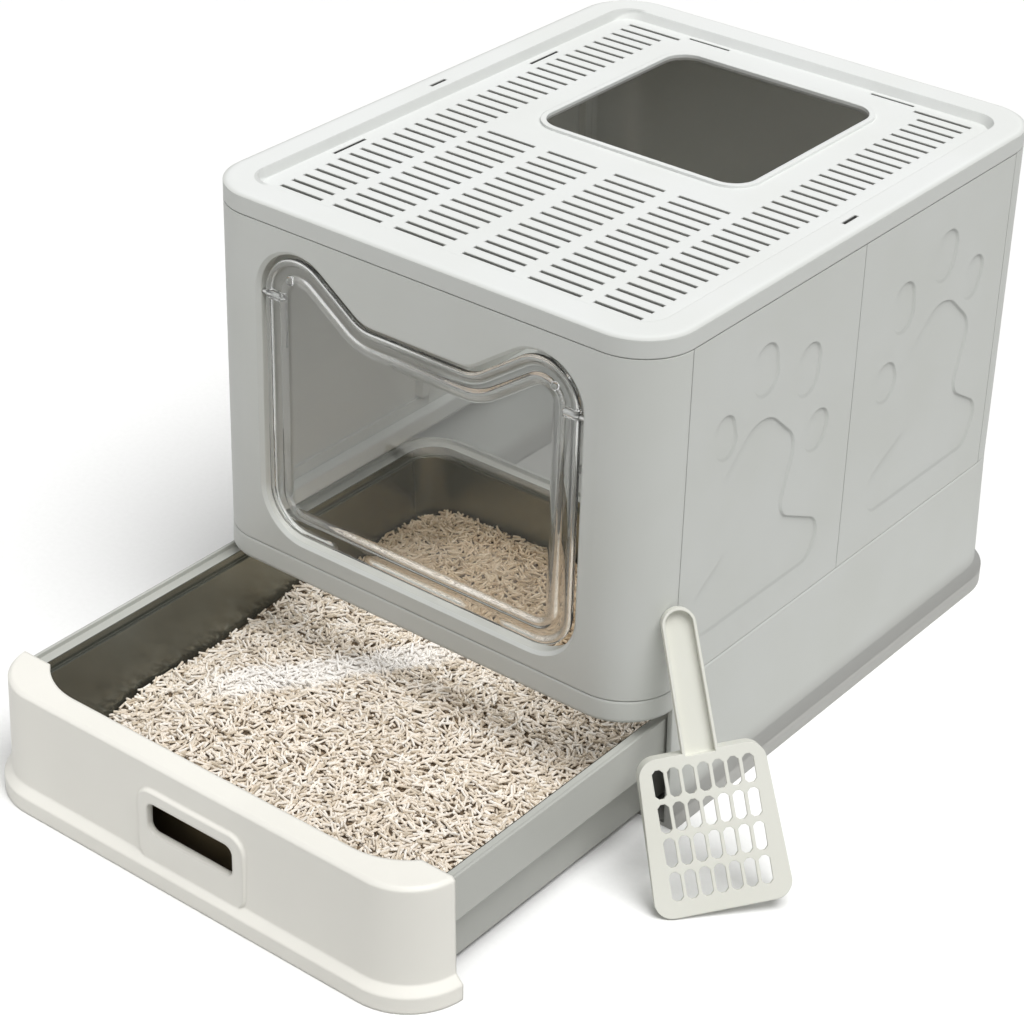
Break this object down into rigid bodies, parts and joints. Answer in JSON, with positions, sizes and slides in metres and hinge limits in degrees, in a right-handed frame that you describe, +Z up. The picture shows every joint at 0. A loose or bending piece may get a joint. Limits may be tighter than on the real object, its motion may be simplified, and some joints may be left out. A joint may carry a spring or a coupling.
{
  "type": "drawer litter box",
  "caption": "Covered litter box with a slide-out pan, a clear two-way flap, a vented lift-off cover with a top entry, hinged side walls and a slotted scoop.",
  "frame": {"origin": "centre of the base frame's footprint, on the floor", "axes": "+X to the right seen from the front, +Y from the front to the back, +Z up"},
  "size_m": [0.5303, 0.751, 0.401],
  "materials": {
    "wall_plastic": "satin moulded white",
    "cover_plastic": "satin moulded white",
    "drawer_plastic": "satin moulded white",
    "pan_plastic": "satin moulded grey",
    "clear_plastic": "clear moulded plastic",
    "litter": "pressed plant-fibre pellets",
    "pin_steel": "drawn wire"
  },
  "bodies": {
    "base": {"base_frame": "wall_plastic", "front_panel": "wall_plastic", "back_panel": "wall_plastic", "side_panel_right_front": "wall_plastic", "side_panel_right_rear": "wall_plastic", "side_panel_left_front": "wall_plastic", "side_panel_left_rear": "wall_plastic", "fold_pin_right": "pin_steel", "fold_pin_left": "pin_steel", "corner_pin_front_right": "pin_steel", "corner_pin_front_left": "pin_steel", "corner_pin_rear_right": "pin_steel", "corner_pin_rear_left": "pin_steel"},
    "flap": {"flap_door": "clear_plastic", "flap_pin_left": "pin_steel", "flap_pin_right": "pin_steel"},
    "cover": {"top_cover": "cover_plastic"},
    "drawer": {"drawer_front": "drawer_plastic", "litter_pan": "pan_plastic", "litter_bed": "litter"},
    "scoop": {"scoop": "drawer_plastic"}
  },
  "joints": [
    {"name": "drawer_slide", "type": "slide", "parent": "base", "child": "drawer", "axis": [0, -1, 0], "range_m": [-0.232, 0.15]},
    {"name": "flap_swing", "type": "hinge", "parent": "base", "child": "flap", "pos_m": [0, -0.2455, 0.329], "axis": [1, 0, 0], "range_deg": [-75, 75]},
    {"name": "cover_lift", "type": "slide", "parent": "base", "child": "cover", "axis": [0, 0, 1], "range_m": [0, 0.12]},
    {"name": "scoop_away", "type": "slide", "parent": "base", "child": "scoop", "axis": [0.5774, -0.5774, 0.5774], "range_m": [0, 0.15]}
  ]
}
